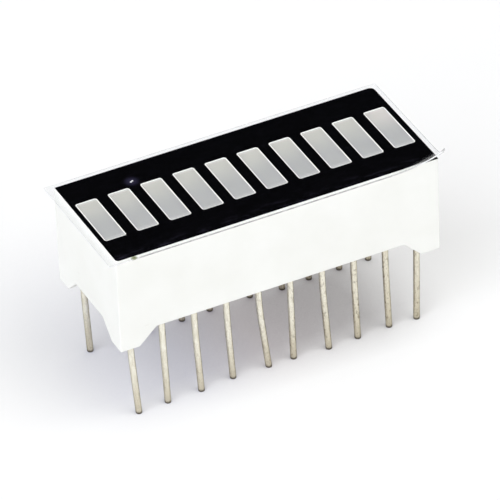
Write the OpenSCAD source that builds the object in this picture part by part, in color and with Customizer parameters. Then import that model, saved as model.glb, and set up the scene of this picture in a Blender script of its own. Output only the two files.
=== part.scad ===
// LED bar graph in a dual-in-line package, standing on its pins.
// X runs along the row of segments, Y across the pin rows, Z up to the lit face.
// The origin is the middle of the pin grid, in the plane of the four feet.

/* [Package] */
// Distance between neighbouring segments and between neighbouring pins
pitch = 2.54; // [2.4:0.02:2.8]
// Number of segments in the row
segment_count = 10; // [4:1:10]
// Width of the housing across the pin rows
body_width = 10.16; // [10:0.02:12]
// Height from the feet to the printed face
body_height = 7.9; // [7.4:0.1:9]
// Thickness of the housing's two end walls
wall = 0.75; // [0.6:0.05:0.8]

/* [Feet] */
// Height of the corner feet below the lower edge of the walls
foot_height = 1.3; // [0.8:0.1:1.6]
// Length of a foot's flat sole along either wall
foot_flat = 1.5; // [1:0.1:2]
// Length of the slope from a sole up to the wall
foot_slope = 1.4; // [0.6:0.1:2]

/* [Segments] */
// Width of a window in the black print
window_width = 1.7; // [1.3:0.05:2.1]
// Length of a window in the black print
window_length = 5.05; // [4:0.05:7]
// Corner radius of a window
window_corner = 0.2; // [0.15:0.05:0.4]
// White rim of housing that shows inside each window
window_rim = 0.09; // [0.03:0.01:0.12]
// Depth of the straight mouth of a light well
mouth_depth = 0.6; // [0.3:0.1:1.5]
// Depth of a light well from the face to the circuit board
well_depth = 4.2; // [3:0.1:4.4]
// Width of a light well where it meets the board
well_floor_width = 0.9; // [0.7:0.05:1]
// Length of a light well where it meets the board
well_floor_length = 2.2; // [2:0.1:3.4]

/* [Face] */
// Thickness of the black print
print_thickness = 0.04; // [0.02:0.01:0.1]
// Bare white edge left round the print
print_margin = 0.04; // [0:0.01:0.3]
// Distance by which the print sits off centre to the right
print_shift = 0.04; // [0:0.01:0.04]
// Radius of the print's worn corner at the back right
print_worn_corner = 0.4; // [0.1:0.1:1]
// Radius of the print's worn corner at the front left
print_worn_front = 0.25; // [0.1:0.05:0.6]

/* [Clear film] */
// Thickness of the clear film over the print
film_thickness = 0.1; // [0.06:0.02:0.4]
// How far the film reaches past the left end of the housing
film_over_left = 0.65; // [0:0.05:1]
// How far the film reaches past the right end of the housing
film_over_right = 0.35; // [0:0.05:1]
// How far the film reaches past the front of the housing
film_over_front = 0.35; // [0:0.05:1]
// How far the film reaches past the back of the housing
film_over_back = 0.25; // [0:0.05:1]
// Length of the front edge that the peeling corner takes up
peel_along_front = 4.6; // [1.5:0.1:5]
// Length of the right edge that the peeling corner takes up
peel_along_right = 1.3; // [1:0.1:3]
// Radius to which the peeling corner curls up
peel_radius = 1.3; // [1.2:0.05:5]

/* [Circuit board] */
// Thickness of the circuit board
board_thickness = 1; // [0.6:0.1:1]
// Gap between the board and the walls round it
board_gap = 0.05; // [0.02:0.01:0.05]
// Thickness of the copper tracks, which lie flush in the board
copper_thickness = 0.04; // [0.02:0.01:0.1]
// Width of a copper track
track_width = 0.5; // [0.2:0.05:0.7]
// Width of copper left round a pin
copper_ring = 0.15; // [0.08:0.01:0.16]
// Height of the resin's surface above the lower edge of the walls
resin_recess = 0.3; // [0.1:0.1:0.4]

/* [Light sources] */
// Side of a square diode die
die_size = 0.3; // [0.2:0.05:0.4]
// Height of a diode die
die_height = 0.2; // [0.1:0.05:0.3]
// Place of the die, measured back from the middle of its segment
die_offset = 0.4; // [0.35:0.05:0.5]
// Reach of a bond wire from the die to its copper pad
bond_span = 0.9; // [0.8:0.05:1]
// Diameter of a bond wire
bond_diameter = 0.04; // [0.03:0.01:0.06]

/* [Pins] */
// Distance between the two rows of pins
row_spacing = 7.62; // [7.4:0.02:7.7]
// Gap between a row of pins and the long wall beside it
pin_gap = 0.27; // [0.22:0.01:0.4]
// Diameter of a pin
pin_diameter = 0.48; // [0.4:0.02:0.54]
// Length of a pin below the feet
pin_reach = 6.35; // [4:0.05:8]
// Length of pin below the feet that is still upright
pin_straight = 0.7; // [0.6:0.1:1.5]
// Step in radius by which a pin thins at the plane of the feet and again at its bend
pin_step = 0.01; // [0.01:0.002:0.02]

/* [Hidden] */
$fn = 48;
body_length = segment_count * pitch;
housing_top = body_height - print_thickness;
board_top = housing_top - well_depth;
board_bottom = board_top - board_thickness;
resin_bottom = foot_height + resin_recess;
root_diameter = pin_diameter + 2 * pin_step;
inside = [body_length - 2 * wall, row_spacing + root_diameter + 2 * pin_gap];
board_size = [inside.x - 2 * board_gap, inside.y - 2 * board_gap];
bar_size = [window_width - 2 * window_rim, window_length - 2 * window_rim];
bar_corner = window_corner - window_rim;
well_floor = [well_floor_width, well_floor_length];
die_top = board_top + die_height;
bond_y = die_offset - bond_span;
pad_size = 0.7;
ring_diameter = root_diameter + 2 * copper_ring;
film_left = -body_length / 2 - film_over_left;
film_right = body_length / 2 + film_over_right;
film_front = -body_width / 2 - film_over_front;
film_back = body_width / 2 + film_over_back;
bend_overlap = 0.05;
well_overcut = 0.1;
spare = 1;

// Where each pin's tip has been knocked to, in X and Y, from left to right
front_knocks = [[0.2, -0.5], [0, -0.4], [0.15, -0.35], [0.25, -0.1], [0.55, -0.15],
                [0, -0.15], [0.2, -0.35], [0.05, -0.25], [0.1, -0.15], [-0.25, -0.25]];
back_knocks = [[0.3, 0.15], [0, 0.2], [0, 0.2], [0.05, 0.2], [-0.2, 0.3],
               [0.55, 0.35], [0.5, 0.05], [0.2, 0.2], [0.15, 0.2], [0, 0.2]];

segments = [1:segment_count];
pins = [1:2 * segment_count];

// X of a segment, counted from the left
function segment_x(i) = (i - (segment_count + 1) / 2) * pitch;
// Pins are counted along the front from the left, then along the back from the right
function is_front(i) = i <= segment_count;
function pin_column(i) = is_front(i) ? i : 2 * segment_count + 1 - i;
function pin_place(i) = [segment_x(pin_column(i)), (is_front(i) ? -1 : 1) * row_spacing / 2];
function pin_knock(i) = (is_front(i) ? front_knocks : back_knocks)[pin_column(i) - 1];

// Rectangle about the origin with round corners
module rounded_rectangle(size, radius) {
    square([size.x - 2 * radius, size.y], center = true);
    square([size.x, size.y - 2 * radius], center = true);
    for (x = [-1, 1], y = [-1, 1])
        translate([x * (size.x / 2 - radius), y * (size.y / 2 - radius)])
            circle(r = radius);
}

// Block that stands on a height, centred in X and Y
module block(size, bottom, top) {
    translate([-size.x / 2, -size.y / 2, bottom])
        cube([size.x, size.y, top - bottom]);
}

// Bar that cuts the notch between two feet out of a wall of the given length
module foot_notch(length, depth) {
    sole = length / 2 - foot_flat;
    crown = sole - foot_slope;
    rotate([90, 0, 0])
        translate([0, 0, -depth / 2 - spare])
            linear_extrude(depth + 2 * spare)
                polygon([[-sole, -spare], [-sole, 0], [-crown, foot_height],
                         [crown, foot_height], [sole, 0], [sole, -spare]]);
}

// Slopes of a light well, seen along one axis, run on past the board and the face by some extra
module well_slopes(floor_size, mouth_size, extra) {
    rise = well_depth - mouth_depth;
    half = function(z) (floor_size + (mouth_size - floor_size) * (z - board_top) / rise) / 2;
    low = board_top - extra;
    high = housing_top + extra;
    rotate([90, 0, 0])
        translate([0, 0, -body_width / 2])
            linear_extrude(body_width)
                polygon([[-half(low), low], [half(low), low], [half(high), high], [-half(high), high]]);
}

// Room of one light well: a funnel that ends in a straight mouth with round corners
module light_well(i, extra = 0) {
    translate([segment_x(i), 0, 0])
        intersection() {
            well_slopes(well_floor.x, bar_size.x, extra);
            rotate([0, 0, 90])
                well_slopes(well_floor.y, bar_size.y, extra);
            translate([0, 0, board_top - spare])
                linear_extrude(well_depth + 2 * spare)
                    rounded_rectangle(bar_size, bar_corner);
        }
}

// Moulded white reflector with a light well for each segment and an open back
module housing() {
    color("white")
        difference() {
            block([body_length, body_width], 0, housing_top);
            foot_notch(body_length, body_width);
            rotate([0, 0, 90])
                foot_notch(body_width, body_length);
            block(inside, -spare, board_top);
            for (i = segments)
                light_well(i, well_overcut);
        }
}

// Ink that is worn off the back right corner of a print of the given size
module worn_ink(size, radius) {
    translate(size / 2 - [radius, radius])
        difference() {
            square(2 * radius);
            circle(r = radius);
        }
}

// Black ink on the housing's face, open over each light bar
module face_print() {
    size = [body_length - 2 * print_margin, body_width - 2 * print_margin];
    color("black")
        translate([0, 0, housing_top])
            linear_extrude(print_thickness)
                difference() {
                    translate([print_shift, 0])
                        difference() {
                            square(size, center = true);
                            worn_ink(size, print_worn_corner);
                            rotate(180)
                                worn_ink(size, print_worn_front);
                        }
                    for (i = segments)
                        translate([segment_x(i), 0])
                            rounded_rectangle([window_width, window_length], window_corner);
                }
}

// Outline of the film's peeling corner, from the fold line out
module peel_outline() {
    polygon([[film_right - peel_along_front, film_front], [film_right, film_front],
             [film_right, film_front + peel_along_right]]);
}

// Outline of a narrow strip along the fold line, which reaches into the sheet on both sides
module fold_outline() {
    front = bend_overlap;
    right = bend_overlap * peel_along_right / peel_along_front;
    start = film_right - peel_along_front;
    end = film_front + peel_along_right;
    polygon([[start - front, film_front], [start + front, film_front],
             [film_right, end - right], [film_right, end + right]]);
}

// Clear sheet that lies on the print, with its front right corner curling up
module face_film() {
    fold_angle = atan2(peel_along_right, peel_along_front);
    fold_length = norm([peel_along_front, peel_along_right]);
    color("lightcyan", 0.3)
        translate([0, 0, body_height]) {
            linear_extrude(film_thickness)
                polygon([[film_left, film_front], [film_right - peel_along_front, film_front],
                         [film_right, film_front + peel_along_right],
                         [film_right, film_back], [film_left, film_back]]);
            translate([0, 0, film_thickness / 4])
                linear_extrude(film_thickness / 2)
                    fold_outline();
            intersection() {
                linear_extrude(film_thickness + peel_radius)
                    peel_outline();
                translate([film_right - peel_along_front, film_front, film_thickness + peel_radius])
                    rotate([0, 90, fold_angle])
                        translate([0, 0, -spare])
                            linear_extrude(fold_length + 2 * spare)
                                difference() {
                                    circle(r = peel_radius + film_thickness, $fn = 180);
                                    circle(r = peel_radius, $fn = 180);
                                }
            }
        }
}

// Room of a pin's root, from the plane of the feet to the top of the board
module pin_root(i) {
    translate(pin_place(i))
        cylinder(d = root_diameter, h = board_top);
}

// Round wire pin, bent below the feet to where its tip has been knocked
module pin(i) {
    knock = pin_knock(i);
    drop = pin_reach - pin_straight;
    lean = atan2(norm(knock), drop);
    color("silver")
        translate(pin_place(i)) {
            rotate_extrude()
                polygon([[0, -pin_straight], [pin_diameter / 2, -pin_straight], [pin_diameter / 2, 0],
                         [root_diameter / 2, 0], [root_diameter / 2, board_top], [0, board_top]]);
            translate([0, 0, -pin_straight])
                difference() {
                    rotate([0, 180 - lean, atan2(knock.y, knock.x)])
                        translate([0, 0, -bend_overlap])
                            cylinder(d = pin_diameter - 2 * pin_step, h = drop + 2 * spare);
                    block([2 * drop, 2 * drop], -drop - 4 * spare, -drop);
                }
        }
}

// Copper from one pin to the middle of its segment, as an outline on the board
module track_outline(i) {
    place = pin_place(i);
    pad_y = is_front(i) ? bond_y : die_offset;
    pad = is_front(i) ? [pad_size, bond_span - pad_size] : [pad_size, pad_size];
    translate([place.x, 0]) {
        translate([0, place.y])
            circle(d = ring_diameter);
        translate([0, pad_y])
            square(pad, center = true);
        translate([-track_width / 2, min(place.y, pad_y)])
            square([track_width, abs(place.y - pad_y)]);
    }
}

// Copper tracks, two to a segment, each round its own pin
module copper_tracks() {
    color("peru")
        translate([0, 0, board_top - copper_thickness])
            linear_extrude(copper_thickness)
                for (i = pins)
                    difference() {
                        track_outline(i);
                        translate(pin_place(i))
                            circle(d = root_diameter);
                    }
}

// Board that carries the dies and the pins, with the copper let into its face
module circuit_board() {
    color("darkseagreen")
        difference() {
            block(board_size, board_bottom, board_top);
            translate([0, 0, board_top - copper_thickness])
                linear_extrude(copper_thickness + spare)
                    for (i = pins)
                        track_outline(i);
            for (i = pins)
                pin_root(i);
        }
}

// Diode die on its copper pad, run on below the pad by some extra
module led_die(i, extra = 0) {
    color("dimgray")
        translate([segment_x(i), die_offset, 0])
            block([die_size, die_size], board_top - extra, die_top);
}

// Gold wire that arches from the top of the die to the other pad, run on below it by some extra
module bond_wire(i, extra = 0) {
    arch = bond_span / 2;
    color("gold")
        translate([segment_x(i), die_offset - arch, die_top]) {
            rotate([90, 0, 90])
                rotate_extrude(angle = 180)
                    translate([arch, 0])
                        circle(d = bond_diameter);
            translate([0, -arch, -die_height - extra])
                cylinder(d = bond_diameter, h = die_height + extra);
        }
}

// Milky resin that fills a light well round the die and its wire
module light_bar(i) {
    color("gainsboro")
        difference() {
            light_well(i);
            led_die(i, well_overcut);
            bond_wire(i, well_overcut);
        }
}

// Resin poured into the open back, round the pins
module potting() {
    color("whitesmoke")
        difference() {
            block(inside, resin_bottom, board_bottom);
            for (i = pins)
                pin_root(i);
        }
}

housing();
face_print();
face_film();
circuit_board();
copper_tracks();
potting();
for (i = segments) {
    light_bar(i);
    led_die(i);
    bond_wire(i);
}
for (i = pins)
    pin(i);
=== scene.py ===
import math
import bpy
import bmesh
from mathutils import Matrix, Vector


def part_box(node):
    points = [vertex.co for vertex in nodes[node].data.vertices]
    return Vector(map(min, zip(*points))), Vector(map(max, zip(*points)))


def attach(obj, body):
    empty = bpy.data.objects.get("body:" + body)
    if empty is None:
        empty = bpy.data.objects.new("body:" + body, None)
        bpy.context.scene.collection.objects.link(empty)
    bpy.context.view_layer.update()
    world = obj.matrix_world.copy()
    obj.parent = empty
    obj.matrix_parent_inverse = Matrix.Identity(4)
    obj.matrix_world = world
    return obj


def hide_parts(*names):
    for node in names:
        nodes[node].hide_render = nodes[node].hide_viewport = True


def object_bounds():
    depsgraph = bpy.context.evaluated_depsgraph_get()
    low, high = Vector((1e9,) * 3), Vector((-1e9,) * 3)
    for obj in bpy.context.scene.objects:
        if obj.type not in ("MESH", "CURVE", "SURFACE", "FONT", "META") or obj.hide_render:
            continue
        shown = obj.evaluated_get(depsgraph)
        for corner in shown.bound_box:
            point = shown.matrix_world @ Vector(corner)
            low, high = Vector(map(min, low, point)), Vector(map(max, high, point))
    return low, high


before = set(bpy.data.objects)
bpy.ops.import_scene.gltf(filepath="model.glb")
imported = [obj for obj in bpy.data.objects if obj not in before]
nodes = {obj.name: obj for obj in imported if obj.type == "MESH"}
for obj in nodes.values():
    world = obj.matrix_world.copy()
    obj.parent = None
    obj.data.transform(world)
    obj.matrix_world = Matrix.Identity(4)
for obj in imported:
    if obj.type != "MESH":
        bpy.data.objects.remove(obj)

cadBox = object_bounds()
mm = 0.001
closeBy = 1e-6  # metres, nearer than this counts as the same place
hairline = 1e-8  # metres, as near as a cut may pass by a corner
flatAngle = math.radians(1)  # faces that meet at less than this count as one
noiseSpan = (0.3, 0.7)  # most of a noise pattern lies between these values
print("frame loaded,", len(nodes), "nodes")


# materials: small helpers for node trees on Object coordinates

def startMaterial(name):
    mat = bpy.data.materials.new(name)
    mat.use_nodes = True
    tree = mat.node_tree
    tree.nodes.clear()
    out = tree.nodes.new("ShaderNodeOutputMaterial")
    shader = tree.nodes.new("ShaderNodeBsdfPrincipled")
    tree.links.new(shader.outputs["BSDF"], out.inputs["Surface"])
    return mat, tree, shader


# size is that of one blot of the pattern, in mm
def noise(tree, size, detail=3.0, roughness=0.55, distortion=0.0, stretch=(1, 1, 1)):
    coords = tree.nodes.new("ShaderNodeTexCoord")
    mapping = tree.nodes.new("ShaderNodeMapping")
    mapping.inputs["Scale"].default_value = stretch
    tree.links.new(coords.outputs["Object"], mapping.inputs["Vector"])
    node = tree.nodes.new("ShaderNodeTexNoise")
    node.inputs["Scale"].default_value = 1 / (size * mm)
    node.inputs["Detail"].default_value = detail
    node.inputs["Roughness"].default_value = roughness
    node.inputs["Distortion"].default_value = distortion
    tree.links.new(mapping.outputs["Vector"], node.inputs["Vector"])
    return node.outputs["Fac"]


# carries values between two limits over to two others
def remap(tree, value, limits, targets=(0.0, 1.0), smooth=False):
    node = tree.nodes.new("ShaderNodeMapRange")
    node.interpolation_type = "SMOOTHSTEP" if smooth else "LINEAR"
    sockets = ("From Min", "From Max", "To Min", "To Max")
    for socket, number in zip(sockets, (*limits, *targets)):
        node.inputs[socket].default_value = number
    tree.links.new(value, node.inputs["Value"])
    return node.outputs["Result"]


# goes from one share to another between two places along an axis, in mm
def fadeAlong(tree, axis, places, shares=(0.0, 1.0), smooth=False):
    coords = tree.nodes.new("ShaderNodeTexCoord")
    split = tree.nodes.new("ShaderNodeSeparateXYZ")
    tree.links.new(coords.outputs["Object"], split.inputs["Vector"])
    return remap(tree, split.outputs[axis], [p * mm for p in places], shares, smooth)


# 1 within the first radius of a place and 0 past the second, in mm
def spotAt(tree, place, radii):
    coords = tree.nodes.new("ShaderNodeTexCoord")
    node = tree.nodes.new("ShaderNodeVectorMath")
    node.operation = "DISTANCE"
    node.inputs[1].default_value = Vector(place) * mm
    tree.links.new(coords.outputs["Object"], node.inputs[0])
    return remap(tree, node.outputs["Value"], [r * mm for r in radii], (1.0, 0.0), smooth=True)


# a Mix node's colours are its inputs 6 and 7 and its output 2
def mixColours(tree, factor, first, second):
    node = tree.nodes.new("ShaderNodeMix")
    node.data_type = "RGBA"
    tree.links.new(factor, node.inputs["Factor"])
    for socket, value in ((node.inputs[6], first), (node.inputs[7], second)):
        if isinstance(value, tuple):
            socket.default_value = (*value, 1)
        else:
            tree.links.new(value, socket)
    return node.outputs[2]


def multiply(tree, first, second):
    node = tree.nodes.new("ShaderNodeMath")
    node.operation = "MULTIPLY"
    for socket, value in zip(node.inputs, (first, second)):
        if isinstance(value, (int, float)):
            socket.default_value = value
        else:
            tree.links.new(value, socket)
    return node.outputs["Value"]


def paint(tree, shader, colour):
    tree.links.new(colour, shader.inputs["Base Color"])


def roughen(tree, shader, pattern, roughness, span=noiseSpan):
    tree.links.new(remap(tree, pattern, span, roughness), shader.inputs["Roughness"])


# depth is in mm
def addBump(tree, shader, height, depth, strength):
    node = tree.nodes.new("ShaderNodeBump")
    node.inputs["Strength"].default_value = strength
    node.inputs["Distance"].default_value = depth * mm
    tree.links.new(height, node.inputs["Height"])
    tree.links.new(node.outputs["Normal"], shader.inputs["Normal"])


def blendShaders(tree, factor, first, second):
    out = next(n for n in tree.nodes if n.type == "OUTPUT_MATERIAL")
    mix = tree.nodes.new("ShaderNodeMixShader")
    for socket, value in zip(mix.inputs, (factor, first, second)):
        tree.links.new(value, socket)
    tree.links.new(mix.outputs["Shader"], out.inputs["Surface"])


def dress(obj, mat):
    obj.data.materials.clear()
    obj.data.materials.append(mat)


# meshes and objects: small helpers

# a copy of a CAD mesh, with its loose triangles merged into flat faces
def mergedCopy(node):
    bm = bmesh.new()
    bm.from_mesh(nodes[node].data)
    bmesh.ops.remove_doubles(bm, verts=bm.verts, dist=closeBy)
    bmesh.ops.dissolve_limit(bm, angle_limit=flatAngle, verts=bm.verts, edges=bm.edges)
    return bm


# width is in mm
def roundEdges(bm, edges, width, segments):
    bmesh.ops.bevel(bm, geom=edges, offset=width * mm, offset_type="OFFSET", segments=segments,
                    profile=0.5, affect="EDGES", clamp_overlap=True, material=-1)


def addObject(name, data):
    obj = bpy.data.objects.new(name, data)
    bpy.context.scene.collection.objects.link(obj)
    return obj


# a mesh that is finished in bmesh becomes a piece on the part's only body
def finishPiece(bm, name, mats, node):
    mesh = bpy.data.meshes.new(name)
    for mat in mats:
        mesh.materials.append(mat)
    bm.to_mesh(mesh)
    bm.free()
    piece = addObject(name, mesh)
    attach(piece, "root")
    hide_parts(node)


# housing, sizes in mm here and below

housing = {
    "edgeRadius": 0.09,
    "edgeSegments": 3,
    "sharpAngle": 20,
    "topClear": 0.2,  # no rounding this near the printed face
    "colour": (0.93, 0.935, 0.905),
    "shade": (0.89, 0.895, 0.855),
    "cloud": {"size": 5.0},
    "cloudRange": (0.35, 0.7),
    "scuff": (0.66, 0.66, 0.62),
    "scratches": {"size": 0.9, "detail": 6.0, "roughness": 0.7, "distortion": 0.6,
                  "stretch": (0.25, 0.25, 2.2)},
    "scratchRange": (0.66, 0.74),
    "scuffShares": (0.0, 0.30),
    "grain": {"size": 0.12, "detail": 4.0, "roughness": 0.6},
    "roughness": (0.36, 0.54),
    "gloss": 0.4,
    "bump": (0.006, 0.5),
}


def housingPlastic():
    mat, tree, shader = startMaterial("housingPlastic")
    cloud = remap(tree, noise(tree, **housing["cloud"]), housing["cloudRange"])
    colour = mixColours(tree, cloud, housing["colour"], housing["shade"])
    scratches = noise(tree, **housing["scratches"])
    scuffs = remap(tree, scratches, housing["scratchRange"], housing["scuffShares"])
    paint(tree, shader, mixColours(tree, scuffs, colour, housing["scuff"]))
    grain = noise(tree, **housing["grain"])
    roughen(tree, shader, grain, housing["roughness"])
    shader.inputs["Specular IOR Level"].default_value = housing["gloss"]
    addBump(tree, shader, grain, *housing["bump"])
    return mat


def makeHousing(mat):
    bm = mergedCopy("housing")
    low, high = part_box("housing")
    top = high.z - housing["topClear"] * mm
    sharp = math.radians(housing["sharpAngle"])

    def onOuterWall(edge):
        for axis in (0, 1):
            for wall in (low[axis], high[axis]):
                if all(abs(v.co[axis] - wall) < closeBy for v in edge.verts):
                    return True
        return False

    outer = [e for e in bm.edges if e.is_manifold and onOuterWall(e)]
    rounded = [e for e in outer
               if e.calc_face_angle() > sharp and min(v.co.z for v in e.verts) < top]
    roundEdges(bm, rounded, housing["edgeRadius"], housing["edgeSegments"])
    bmesh.ops.triangulate(bm, faces=[f for f in bm.faces if len(f.verts) > 4])
    finishPiece(bm, "moulded_housing", [mat], "housing")


makeHousing(housingPlastic())
print("housing done")

# black print under the film

ink = {
    "colour": (0.0007, 0.0007, 0.0009),
    "speck": (0.010, 0.010, 0.013),
    "specks": {"size": 0.10, "detail": 2.0, "roughness": 0.5},
    "speckRange": (0.62, 0.72),
    # painted reflection: bluish blots painted along the front edge of the black
    "worn": (0.022, 0.020, 0.032),
    "sheenBlots": {"size": 0.5, "detail": 5.0, "roughness": 0.7, "stretch": (0.4, 1.6, 1)},
    "sheenRange": (0.5, 0.75),
    "wornPlaces": (-4.9, -3.9),  # painted bluish reflection, strongest along the front edge
    "wornShares": (1.0, 0.1),
    # painted light: a dust speck drawn as a glint, with a painted bluish glow around it
    "glintGlow": (0.023, 0.021, 0.043),
    "glintGlowRadii": (0.05, 0.72),
    "dustGlint": (0.95, 0.95, 1.0),
    "dustGlintPlace": (-7.54, 3.06, 7.9),
    "dustGlintHalf": (0.07, 0.035, 0.0),
    "dustGlintRadii": (0.03, 0.1),
    "mottle": {"size": 0.6},
    "roughness": (0.4, 0.6),
    "gloss": 0.0,
}


def blackInk():
    mat, tree, shader = startMaterial("blackInk")
    specks = remap(tree, noise(tree, **ink["specks"]), ink["speckRange"])
    colour = mixColours(tree, specks, ink["colour"], ink["speck"])
    # painted bluish reflection in blots along the front edge
    sheenMask = remap(tree, noise(tree, **ink["sheenBlots"]), ink["sheenRange"])
    nearFront = fadeAlong(tree, "Y", ink["wornPlaces"], ink["wornShares"], smooth=True)
    colour = mixColours(tree, multiply(tree, sheenMask, nearFront), colour, ink["worn"])
    # painted glint: the dust speck as two white spots inside a painted bluish glow
    glintGlow = spotAt(tree, ink["dustGlintPlace"], ink["glintGlowRadii"])
    colour = mixColours(tree, glintGlow, colour, ink["glintGlow"])
    middle, half = Vector(ink["dustGlintPlace"]), Vector(ink["dustGlintHalf"])
    for end in (middle - half, middle + half):
        colour = mixColours(tree, spotAt(tree, end, ink["dustGlintRadii"]), colour, ink["dustGlint"])
    paint(tree, shader, colour)
    roughen(tree, shader, noise(tree, **ink["mottle"]), ink["roughness"])
    shader.inputs["Specular IOR Level"].default_value = ink["gloss"]
    return mat


dress(nodes["face_print"], blackInk())
print("print done")

# light bars

lightBar = {
    # painted shading: the bars are darker at the front and paler and warmer at the back, most
    # on the last bar
    "front": (0.348, 0.352, 0.350),
    "back": (0.462, 0.457, 0.418),
    "shadingPlaces": (-0.96, 2.4),
    "lastBarLight": (0.54, 0.512, 0.487),
    "lastBarLightPlaces": (10.2, 11.6),  # on the last bar
    "fleck": (0.50, 0.50, 0.49),
    "grain": {"size": 0.14, "detail": 5.0, "roughness": 0.65},
    "fleckRange": (0.45, 0.75),
    "fleckShares": (0.0, 0.35),
    "end": (0.62, 0.62, 0.61),
    "frontEnd": (-2.4, -2.05),
    "frontShares": (0.45, 0.0),
    "backEnd": (2.2, 2.4),
    "backShares": (0.0, 0.8),
    "roughness": (0.30, 0.5),
    "waves": {"size": 0.5},
    "bump": (0.004, 0.4),
}


def milkyResin():
    mat, tree, shader = startMaterial("milkyResin")
    # painted shading, paler and warmer towards the back of the bars
    lastBarLight = fadeAlong(tree, "X", lightBar["lastBarLightPlaces"])
    litBackColour = mixColours(tree, lastBarLight, lightBar["back"], lightBar["lastBarLight"])
    paintedBackLight = fadeAlong(tree, "Y", lightBar["shadingPlaces"], smooth=True)
    colour = mixColours(tree, paintedBackLight, lightBar["front"], litBackColour)
    grain = noise(tree, **lightBar["grain"])
    flecks = remap(tree, grain, lightBar["fleckRange"], lightBar["fleckShares"])
    colour = mixColours(tree, flecks, colour, lightBar["fleck"])
    # painted light: the white well shining through the ends of the bar
    for places, shares in (("frontEnd", "frontShares"), ("backEnd", "backShares")):
        end = fadeAlong(tree, "Y", lightBar[places], lightBar[shares])
        colour = mixColours(tree, end, colour, lightBar["end"])
    paint(tree, shader, colour)
    roughen(tree, shader, grain, lightBar["roughness"])
    addBump(tree, shader, noise(tree, **lightBar["waves"]), *lightBar["bump"])
    return mat


barMaterial = milkyResin()
barNodes = [n for n in nodes if n.startswith("light_bar")]
for name in barNodes:
    dress(nodes[name], barMaterial)
print("light bars done,", len(barNodes))

# clear film

film = {
    "thickness": 0.1,
    "peelFront": 4.6,
    "peelRight": 1.3,
    "peelRadius": 1.3,
    "peelSteps": 18,
    "sink": 0.005,
    "cutEdge": 0.008,
    "cutSegments": 2,
    "cutAngle": 50,
    "cutSlope": 0.3,  # faces steeper than this are the cut
    "clear": (0.99, 0.995, 1.0),
    "ior": 1.33,
    "fine": {"size": 0.35, "detail": 4.0, "roughness": 0.6},
    "fineRange": (0.3, 0.75),
    "roughness": (0.05, 0.14),
    "waves": {"size": 4.0, "detail": 1.0},
    "bump": (0.006, 0.5),
    "smudge": (0.30, 0.33, 0.20),
    "smudgePlace": (-11.38, -5.3, 7.95),
    "smudgeRadii": (0.099, 0.33),
    "cut": {
        "colour": (0.95, 0.955, 0.96),
        "nick": (0.84, 0.85, 0.86),
        "nicks": {"size": 0.2, "detail": 4.0, "roughness": 0.6, "stretch": (1, 1, 0.3)},
        "nickRange": (0.4, 0.75),
        # painted shade: the grey of the shadow line low on the cut and of the tab's edges
        "shade": (0.36, 0.36, 0.36),
        "shadowLineHeights": (0.1, 0.3),  # above the film's lower side, as tabHeights
        "shadowLineShares": (1.0, 0.0),
        "shadowLineFades": [("X", (-11.4, -10.9), (0.0, 1.0)), ("X", (7.5, 11.5), (1.0, 0.65)),
                         ("Y", (4.8, 5.2), (1.0, 0.1))],
        "dashes": {"size": 0.6, "detail": 2.0},
        "dashRange": (0.38, 0.6),
        "dashShares": (0.6, 1.0),
        "tabHeights": (0.7, 0.85),
        "tabShares": (0.0, 0.8),
        "roughness": (0.35, 0.6),
        "bump": (0.01, 0.5),
    },
}


def smudgeSpot(tree):
    return spotAt(tree, film["smudgePlace"], film["smudgeRadii"])


# lets lamp light through to what lies under the film
def openToLamps(tree, shader):
    path = tree.nodes.new("ShaderNodeLightPath")
    clear = tree.nodes.new("ShaderNodeBsdfTransparent")
    shadowRay = path.outputs["Is Shadow Ray"]
    blendShaders(tree, shadowRay, shader.outputs["BSDF"], clear.outputs["BSDF"])


def clearFilm():
    mat, tree, shader = startMaterial("clearFilm")
    paint(tree, shader, mixColours(tree, smudgeSpot(tree), film["clear"], film["smudge"]))
    shader.inputs["Transmission Weight"].default_value = 1.0
    shader.inputs["IOR"].default_value = film["ior"]
    fine = noise(tree, **film["fine"])
    roughen(tree, shader, fine, film["roughness"], film["fineRange"])
    addBump(tree, shader, noise(tree, **film["waves"]), *film["bump"])
    openToLamps(tree, shader)
    return mat


def frostedCut():
    mat, tree, shader = startMaterial("frostedCut")
    cut = film["cut"]
    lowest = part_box("face_film")[0].z / mm

    def fadeUp(heights, shares):
        return fadeAlong(tree, "Z", [lowest + h for h in heights], shares)

    nicks = noise(tree, **cut["nicks"])
    colour = mixColours(tree, remap(tree, nicks, cut["nickRange"]), cut["colour"], cut["nick"])
    # painted shadow: grey dashes low on the cut where the film lies flat, fewer at its ends and
    # its back
    shadowLine = fadeUp(cut["shadowLineHeights"], cut["shadowLineShares"])
    for axis, places, shares in cut["shadowLineFades"]:
        shadowLine = multiply(tree, shadowLine, fadeAlong(tree, axis, places, shares))
    dashes = remap(tree, noise(tree, **cut["dashes"]), cut["dashRange"], cut["dashShares"])
    colour = mixColours(tree, multiply(tree, shadowLine, dashes), colour, cut["shade"])
    # painted shade: the same grey on the tab at the tip of the lifted corner
    tab = fadeUp(cut["tabHeights"], cut["tabShares"])
    colour = mixColours(tree, tab, colour, cut["shade"])
    paint(tree, shader, mixColours(tree, smudgeSpot(tree), colour, film["smudge"]))
    roughen(tree, shader, nicks, cut["roughness"])
    addBump(tree, shader, nicks, *cut["bump"])
    return mat


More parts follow.
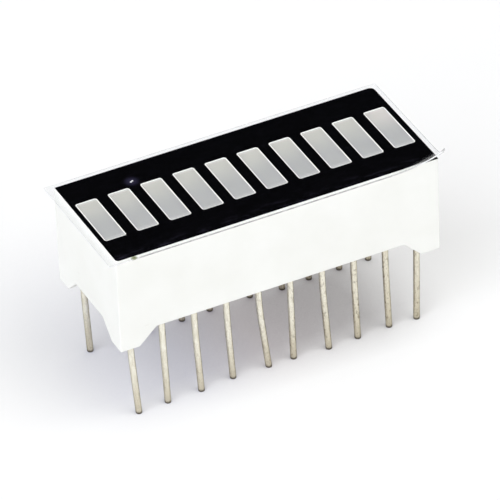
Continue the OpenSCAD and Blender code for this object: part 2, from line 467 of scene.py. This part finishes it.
def makeFilm(mats):
    low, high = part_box("face_film")
    size, middle = high - low, (low + high) / 2
    bm = bmesh.new()
    bmesh.ops.create_grid(bm, x_segments=1, y_segments=1, size=0.5)
    bmesh.ops.scale(bm, vec=(size.x, size.y, 1), verts=bm.verts)
    bmesh.ops.translate(bm, vec=(middle.x, middle.y, low.z), verts=bm.verts)
    # cuts across the lifted corner, side by side, for its curl
    corner = Vector((high.x, low.y, 0))
    alongFront, alongRight = film["peelFront"] * mm, film["peelRight"] * mm
    outward = Vector((alongRight, -alongFront, 0)).normalized()
    reach = alongFront * outward.x
    for step in range(film["peelSteps"]):
        place = corner - outward * reach * (1 - step / film["peelSteps"])
        bmesh.ops.bisect_plane(bm, geom=bm.verts[:] + bm.edges[:] + bm.faces[:], dist=hairline,
                               plane_co=place, plane_no=outward)
    lower = list(bm.verts)
    grown = bmesh.ops.extrude_face_region(bm, geom=bm.faces[:])
    upper = [v for v in grown["geom"] if isinstance(v, bmesh.types.BMVert)]
    thick, radius = film["thickness"] * mm, film["peelRadius"] * mm

    def curl(v, r):
        past = max(0.0, (Vector((v.co.x, v.co.y, 0)) - corner).dot(outward) + reach)
        return r - math.sqrt(r * r - past * past)

    for v in upper:
        v.co.z += thick + curl(v, radius)
    for v in lower:
        rise = curl(v, radius + thick)
        v.co.z += rise - (film["sink"] * mm if rise == 0 else 0)
    bmesh.ops.recalc_face_normals(bm, faces=bm.faces)
    sharp = math.radians(film["cutAngle"])
    rim = [e for e in bm.edges if e.is_manifold and e.calc_face_angle() > sharp]
    roundEdges(bm, rim, film["cutEdge"], film["cutSegments"])
    for f in bm.faces:
        f.material_index = 1 if abs(f.normal.z) < film["cutSlope"] else 0
    finishPiece(bm, "clear_film", mats, "face_film")


makeFilm([clearFilm(), frostedCut()])
print("film done")

# wire pins

pin = {
    "radius": 0.24,
    "sides": 20,
    "bendTop": 1.1,
    "bendFoot": -2.5,
    "bendSteps": 12,
    "legSteps": 6,
    "tipChamfer": 0.05,
    "tipSegments": 2,
    "endSlope": 0.7,  # faces flatter than this are the ends of the wire
    "bright": (0.92, 0.90, 0.79),
    "dull": (0.62, 0.56, 0.42),
    "edge": (0.30, 0.28, 0.24),
    "streaks": {"size": 0.11, "detail": 4.0, "roughness": 0.6, "distortion": 0.3,
                "stretch": (1, 1, 0.12)},
    "streakRange": (0.36, 0.66),
    "streakShares": (0.0, 0.5),
    # duller towards the tips
    "dullerLowHeights": (-6.2, -1.5),
    "dullerLowShares": (0.75, 0.0),
    # duller towards the right end of the row
    "dullerRightPlaces": (2, 9),
    "dullerRightShares": (0.0, 0.4),
    "stain": (0.22, 0.18, 0.12),
    "blots": {"size": 0.24, "detail": 5.0, "roughness": 0.7, "stretch": (1, 1, 0.6)},
    "blotRange": (0.52, 0.66),
    "stainPlaces": (-6, 5),
    "stainShares": (0.15, 0.7),
    # the last stretch of each wire is darker: the bare cut end, and painted shade at the tips
    "cut": (0.07, 0.06, 0.05),
    "darkTipHeights": (-6.3, -6.05),
    "darkTipShares": (0.9, 0.0),
    "roughness": (0.18, 0.34),
    "bump": (0.010, 0.6),
}


def tinnedWire():
    mat, tree, shader = startMaterial("tinnedWire")
    streaks = noise(tree, **pin["streaks"])
    drawn = remap(tree, streaks, pin["streakRange"], pin["streakShares"])
    colour = mixColours(tree, drawn, pin["bright"], pin["dull"])
    # duller towards the tips
    dullerLow = fadeAlong(tree, "Z", pin["dullerLowHeights"], pin["dullerLowShares"], smooth=True)
    colour = mixColours(tree, dullerLow, colour, pin["dull"])
    # duller towards the right end of the row
    dullerRight = fadeAlong(tree, "X", pin["dullerRightPlaces"], pin["dullerRightShares"])
    colour = mixColours(tree, dullerRight, colour, pin["dull"])
    blots = noise(tree, **pin["blots"])
    stained = multiply(tree, remap(tree, blots, pin["blotRange"]),
                       fadeAlong(tree, "X", pin["stainPlaces"], pin["stainShares"]))
    colour = mixColours(tree, stained, colour, pin["stain"])
    # darker tips: the bare cut end, and painted shade
    tip = fadeAlong(tree, "Z", pin["darkTipHeights"], pin["darkTipShares"], smooth=True)
    paint(tree, shader, mixColours(tree, tip, colour, pin["cut"]))
    shader.inputs["Metallic"].default_value = 1.0
    shader.inputs["Specular Tint"].default_value = (*pin["edge"], 1)
    roughen(tree, shader, streaks, pin["roughness"])
    addBump(tree, shader, blots, *pin["bump"])
    return mat


# how far along its lean the wire is at a height, with a long soft bend about the feet
def leanAt(z, tip):
    top, foot = pin["bendTop"] * mm, pin["bendFoot"] * mm
    middle = (top + foot) / 2
    slope = 1 / (middle - tip)
    if z >= top:
        return 0.0
    if z >= foot:
        return slope * (top - z) ** 2 / (2 * (top - foot))
    return slope * (middle - z)


def makePin(node, mat):
    co = [v.co.copy() for v in nodes[node].data.vertices]
    low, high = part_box(node)
    topRing = [c for c in co if c.z > high.z - closeBy]
    tipRing = [c for c in co if c.z < low.z + closeBy]
    root = sum(topRing, Vector()) / len(topRing)
    knock = sum(tipRing, Vector()) / len(tipRing) - root
    top, foot = pin["bendTop"] * mm, pin["bendFoot"] * mm
    bends, legs = pin["bendSteps"], pin["legSteps"]
    heights = [top + (foot - top) * k / bends for k in range(bends + 1)]
    heights += [foot + (low.z - foot) * (k + 1) / legs for k in range(legs)]
    bm = bmesh.new()
    bmesh.ops.create_circle(bm, cap_ends=True, segments=pin["sides"], radius=pin["radius"] * mm)
    bmesh.ops.reverse_faces(bm, faces=bm.faces)
    bmesh.ops.translate(bm, vec=root, verts=bm.verts)
    ring = list(bm.edges)
    centre = root.copy()
    for z in heights:
        grown = bmesh.ops.extrude_edge_only(bm, edges=ring)["geom"]
        verts = [v for v in grown if isinstance(v, bmesh.types.BMVert)]
        edges = [e for e in grown if isinstance(e, bmesh.types.BMEdge)]
        ring = [e for e in edges if all(v in verts for v in e.verts)]
        lean = leanAt(z, low.z)
        target = Vector((root.x + knock.x * lean, root.y + knock.y * lean, z))
        bmesh.ops.translate(bm, vec=target - centre, verts=verts)
        centre = target
    end = bmesh.ops.contextual_create(bm, geom=ring)["faces"][0]
    bmesh.ops.recalc_face_normals(bm, faces=bm.faces)
    roundEdges(bm, list(end.edges), pin["tipChamfer"], pin["tipSegments"])
    for f in bm.faces:
        f.smooth = abs(f.normal.z) < pin["endSlope"]
    finishPiece(bm, node.replace("pin_", "wire_pin."), [mat], node)


pinMaterial = tinnedWire()
pinNodes = [n for n in nodes if n.startswith("pin_")]
for name in pinNodes:
    makePin(name, pinMaterial)
print("pins done,", len(pinNodes))

# board, copper, dies, wires and resin, out of sight or seen from below

inside = {
    "pouredResin": {"first": (0.80, 0.80, 0.73), "second": (0.70, 0.70, 0.62), "size": 1.4,
                    "roughness": 0.18, "depth": 0.05},
    "glassLaminate": {"first": (0.42, 0.46, 0.22), "second": (0.50, 0.54, 0.30), "size": 0.4,
                      "roughness": 0.5},
    "bareCopper": {"first": (0.80, 0.47, 0.30), "second": (0.55, 0.30, 0.18), "size": 0.3,
                   "roughness": 0.25, "metallic": 1.0},
    "dieCrystal": {"first": (0.10, 0.10, 0.11), "second": (0.22, 0.22, 0.24), "size": 0.1,
                   "roughness": 0.15},
    "goldWire": {"first": (0.95, 0.74, 0.32), "second": (0.80, 0.58, 0.22), "size": 0.1,
                 "roughness": 0.2, "metallic": 1.0, "depth": 0.001},
}
innerNodes = {
    "circuit_board": "glassLaminate",
    "copper_tracks": "bareCopper",
    "led_die": "dieCrystal",
    "bond_wire": "goldWire",
}
blots = {
    "detail": 4.0,
    "range": (0.35, 0.65),
    "rougher": 0.15,
    "bumpStrength": 0.5,
}


# two colours in soft blots, a little rougher in the second
def plainFinish(name, first, second, size, roughness, metallic=0.0, depth=0.01):
    mat, tree, shader = startMaterial(name)
    blot = noise(tree, size, blots["detail"])
    paint(tree, shader, mixColours(tree, remap(tree, blot, blots["range"]), first, second))
    shader.inputs["Metallic"].default_value = metallic
    roughen(tree, shader, blot, (roughness, roughness + blots["rougher"]))
    addBump(tree, shader, blot, depth, blots["bumpStrength"])
    return mat


# the resin creeps a little way down the walls and the pins where it meets them
resin = {
    "creepWidths": (0.05, 0.07),
    "creepDepths": (0.12, 0.035),
    "wallSlope": 0.2,  # faces steeper than this are walls
}


def makeResin(mat):
    bm = mergedCopy("potting")
    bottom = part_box("potting")[0].z
    surface = [f for f in bm.faces if all(abs(v.co.z - bottom) < closeBy for v in f.verts)]
    rims = []
    for width in resin["creepWidths"]:
        ring = bmesh.ops.inset_region(bm, faces=surface, thickness=width * mm,
                                      use_boundary=True, use_even_offset=True)
        rims.append(ring["faces"])
    outer, inner = ({v for f in rim for v in f.verts} for rim in rims)
    for verts, depth in zip((outer - inner, outer & inner), resin["creepDepths"]):
        bmesh.ops.translate(bm, vec=(0, 0, -depth * mm), verts=list(verts))
    for f in bm.faces:
        f.smooth = abs(f.normal.z) > resin["wallSlope"]
    finishPiece(bm, "poured_resin", [mat], "potting")


makeResin(plainFinish("pouredResin", **inside["pouredResin"]))
for start, finish in innerNodes.items():
    mat = plainFinish(finish, **inside[finish])
    for name, obj in nodes.items():
        if name.startswith(start):
            dress(obj, mat)
print("inner pieces done")

# floor, light and camera

studio = {
    "floorHalf": 3.0,  # metres
    "floorSeen": (1.0, 1.0, 1.0),
    "floorBounce": (0.80, 0.80, 0.80),
    "floorRoughness": 0.8,
    "floorGlow": 0.3,
    # the shade's colour by its place along the row
    "shade": {-20: (1.0, 1.0, 1.0), -12: (0.58, 0.585, 0.72), -6: (0.47, 0.465, 0.60),
              0: (0.42, 0.365, 0.41), 8: (0.22, 0.19, 0.205), 13: (0.76, 0.75, 0.76),
              15: (1.0, 1.0, 1.0)},
    "shadeReach": 17,
    "shadeSamples": 8,
    "frontPlaces": (-7, -2),  # paler in front of the part
    "frontShares": (0.8, 0.0),
    "sky": (0.026, 0.028, 0.034),
    "horizon": (0.95, 0.95, 0.95),
    "skyHeights": (0.05, 0.3),
    "lamps": {
        "topLamp": {"azimuth": 60, "elevation": 86, "spread": 96, "power": 1.0,
                    "colour": (1.0, 1.0, 1.0)},
        "rightLamp": {"azimuth": 45, "elevation": 44, "spread": 60, "power": 1.3,
                      "colour": (1.0, 0.99, 0.965)},
        "leftLamp": {"azimuth": -64, "elevation": 35, "spread": 60, "power": 2.06,
                     "colour": (0.955, 0.968, 1.0)},
    },
}
view = {
    "place": (-0.157611, -0.335666, 0.272797),  # metres
    "turn": (53.7517, 1.9959, -26.6204),
    "lens": 463.35,
    "clipStart": 0.01,
}


# paper that is seen as white, and darker where the part stands over it
def floorPaint():
    mat, tree, shader = startMaterial("palePaper")
    path = tree.nodes.new("ShaderNodeLightPath")
    seen = path.outputs["Is Camera Ray"]
    for other in ("Is Glossy Ray", "Is Transmission Ray"):
        either = tree.nodes.new("ShaderNodeMath")
        either.operation = "MAXIMUM"
        tree.links.new(seen, either.inputs[0])
        tree.links.new(path.outputs[other], either.inputs[1])
        seen = either.outputs["Value"]
    cover = tree.nodes.new("ShaderNodeAmbientOcclusion")
    cover.samples = studio["shadeSamples"]
    cover.inputs["Distance"].default_value = studio["shadeReach"] * mm
    places = list(studio["shade"])
    first, last = places[0], places[-1]
    ramp = tree.nodes.new("ShaderNodeValToRGB")
    tree.links.new(fadeAlong(tree, "X", (first, last)), ramp.inputs["Fac"])
    stops = ramp.color_ramp.elements
    while len(stops) < len(places):
        stops.new(0.5)
    for stop, place in zip(stops, places):
        stop.position = (place - first) / (last - first)
        stop.color = (*studio["shade"][place], 1)
    front = fadeAlong(tree, "Y", studio["frontPlaces"], studio["frontShares"])
    shade = mixColours(tree, front, ramp.outputs["Color"], studio["floorSeen"])
    paper = mixColours(tree, cover.outputs["AO"], shade, studio["floorSeen"])
    paint(tree, shader, mixColours(tree, seen, studio["floorBounce"], paper))
    shader.inputs["Roughness"].default_value = studio["floorRoughness"]
    shader.inputs["Specular IOR Level"].default_value = 0.0
    # part of the seen colour shines by itself, for these rays alone
    glow = tree.nodes.new("ShaderNodeEmission")
    tree.links.new(paper, glow.inputs["Color"])
    share = multiply(tree, seen, studio["floorGlow"])
    blendShaders(tree, share, shader.outputs["BSDF"], glow.outputs["Emission"])
    mat.cycles.emission_sampling = "NONE"
    return mat


def makeFloor(mat):
    bm = bmesh.new()
    bmesh.ops.create_grid(bm, x_segments=1, y_segments=1, size=studio["floorHalf"])
    bmesh.ops.translate(bm, vec=(0, 0, cadBox[0].z), verts=bm.verts)
    mesh = bpy.data.meshes.new("floor")
    bm.to_mesh(mesh)
    bm.free()
    floor = addObject("floor", mesh)
    dress(floor, mat)


# azimuth goes from the front round to the right, in degrees like the other angles
def addLamp(name, lamp):
    data = bpy.data.lights.new(name, "SUN")
    data.energy = lamp["power"]
    data.angle = math.radians(lamp["spread"])
    data.color = lamp["colour"]
    obj = addObject(name, data)
    a, e = math.radians(lamp["azimuth"]), math.radians(lamp["elevation"])
    towards = Vector((math.sin(a) * math.cos(e), -math.cos(a) * math.cos(e), math.sin(e)))
    obj.rotation_euler = towards.to_track_quat("Z", "Y").to_euler()
    obj.visible_glossy = False


# pale at the horizon and below, dim overhead, so that the black face stays black
def makeSky():
    world = bpy.data.worlds.new("studio")
    world.use_nodes = True
    tree = world.node_tree
    coords = tree.nodes.new("ShaderNodeTexCoord")
    split = tree.nodes.new("ShaderNodeSeparateXYZ")
    tree.links.new(coords.outputs["Generated"], split.inputs["Vector"])
    height = remap(tree, split.outputs["Z"], studio["skyHeights"], smooth=True)
    colour = mixColours(tree, height, studio["horizon"], studio["sky"])
    backdrop = tree.nodes["Background"]
    tree.links.new(colour, backdrop.inputs["Color"])
    backdrop.inputs["Strength"].default_value = 1.0
    bpy.context.scene.world = world


makeFloor(floorPaint())
for name, lamp in studio["lamps"].items():
    addLamp(name, lamp)
makeSky()

camera = addObject("camera", bpy.data.cameras.new("camera"))
camera.location = view["place"]
camera.rotation_euler = [math.radians(t) for t in view["turn"]]
camera.data.lens = view["lens"]
camera.data.clip_start = view["clipStart"]
bpy.context.scene.camera = camera
bpy.context.scene.view_settings.view_transform = "Standard"
print("studio done")
